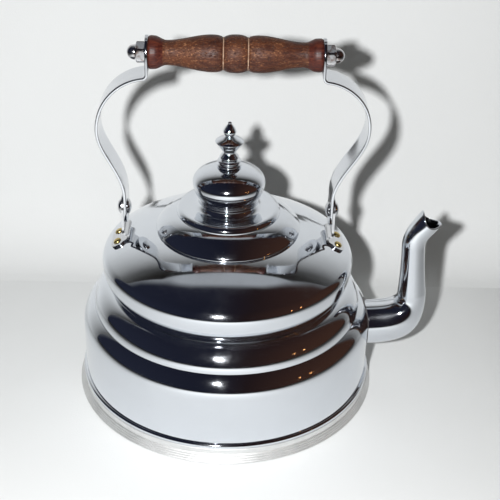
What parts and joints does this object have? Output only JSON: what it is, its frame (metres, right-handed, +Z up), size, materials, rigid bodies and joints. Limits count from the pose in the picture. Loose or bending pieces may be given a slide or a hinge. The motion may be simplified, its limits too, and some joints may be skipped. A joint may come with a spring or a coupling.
{
  "type": "kettle with swinging bail",
  "caption": "Stepped round metal kettle with a gooseneck spout, a lift-off lid with a tall turned knob, and a swinging bail with a turned wooden grip.",
  "frame": {"origin": "on the floor, on the kettle's axis, at the centre of the bottom plate's lower face", "axes": "+Z up along the kettle's axis, +X towards the spout, +Y to the back of the picture; the bail's pivots lie on a line along X"},
  "size_m": [0.2628, 0.2206, 0.267],
  "materials": {
    "chrome_plate": "mirror plated, light smudges",
    "base_metal": "satin, turned lines",
    "plated_steel": "bright plated",
    "rivet_brass": "dull, dirty in the recesses",
    "grip_wood": "worn dark varnish"
  },
  "bodies": {
    "kettle": {"base_pan": "base_metal", "seam_bead": "chrome_plate", "drum_shell": "chrome_plate", "middle_shell": "chrome_plate", "dome_shell": "chrome_plate", "lid_seat_ring": "chrome_plate", "spout": "chrome_plate", "left_bracket": "plated_steel", "right_bracket": "plated_steel", "left_bracket_rivets": "rivet_brass", "right_bracket_rivets": "rivet_brass", "left_pivot_rivet": "plated_steel", "right_pivot_rivet": "plated_steel"},
    "bail": {"left_arm": "chrome_plate", "right_arm": "chrome_plate", "grip": "grip_wood", "tie_rod": "plated_steel", "left_cap_nut": "chrome_plate", "right_cap_nut": "chrome_plate"},
    "lid": {"lid_cover": "chrome_plate", "lid_skirt": "chrome_plate", "knob_ring": "chrome_plate", "knob_ball": "chrome_plate", "finial": "chrome_plate", "lid_stud": "plated_steel", "lid_washer": "plated_steel", "lid_nut": "plated_steel"}
  },
  "joints": [
    {"name": "bail_swing", "type": "hinge", "parent": "kettle", "child": "bail", "pos_m": [0, 0, 0.14], "axis": [1, 0, 0], "range_deg": [-108, 108]},
    {"name": "lid_lift", "type": "slide", "parent": "kettle", "child": "lid", "axis": [0, 0, 1], "range_m": [0, 0.03]}
  ]
}
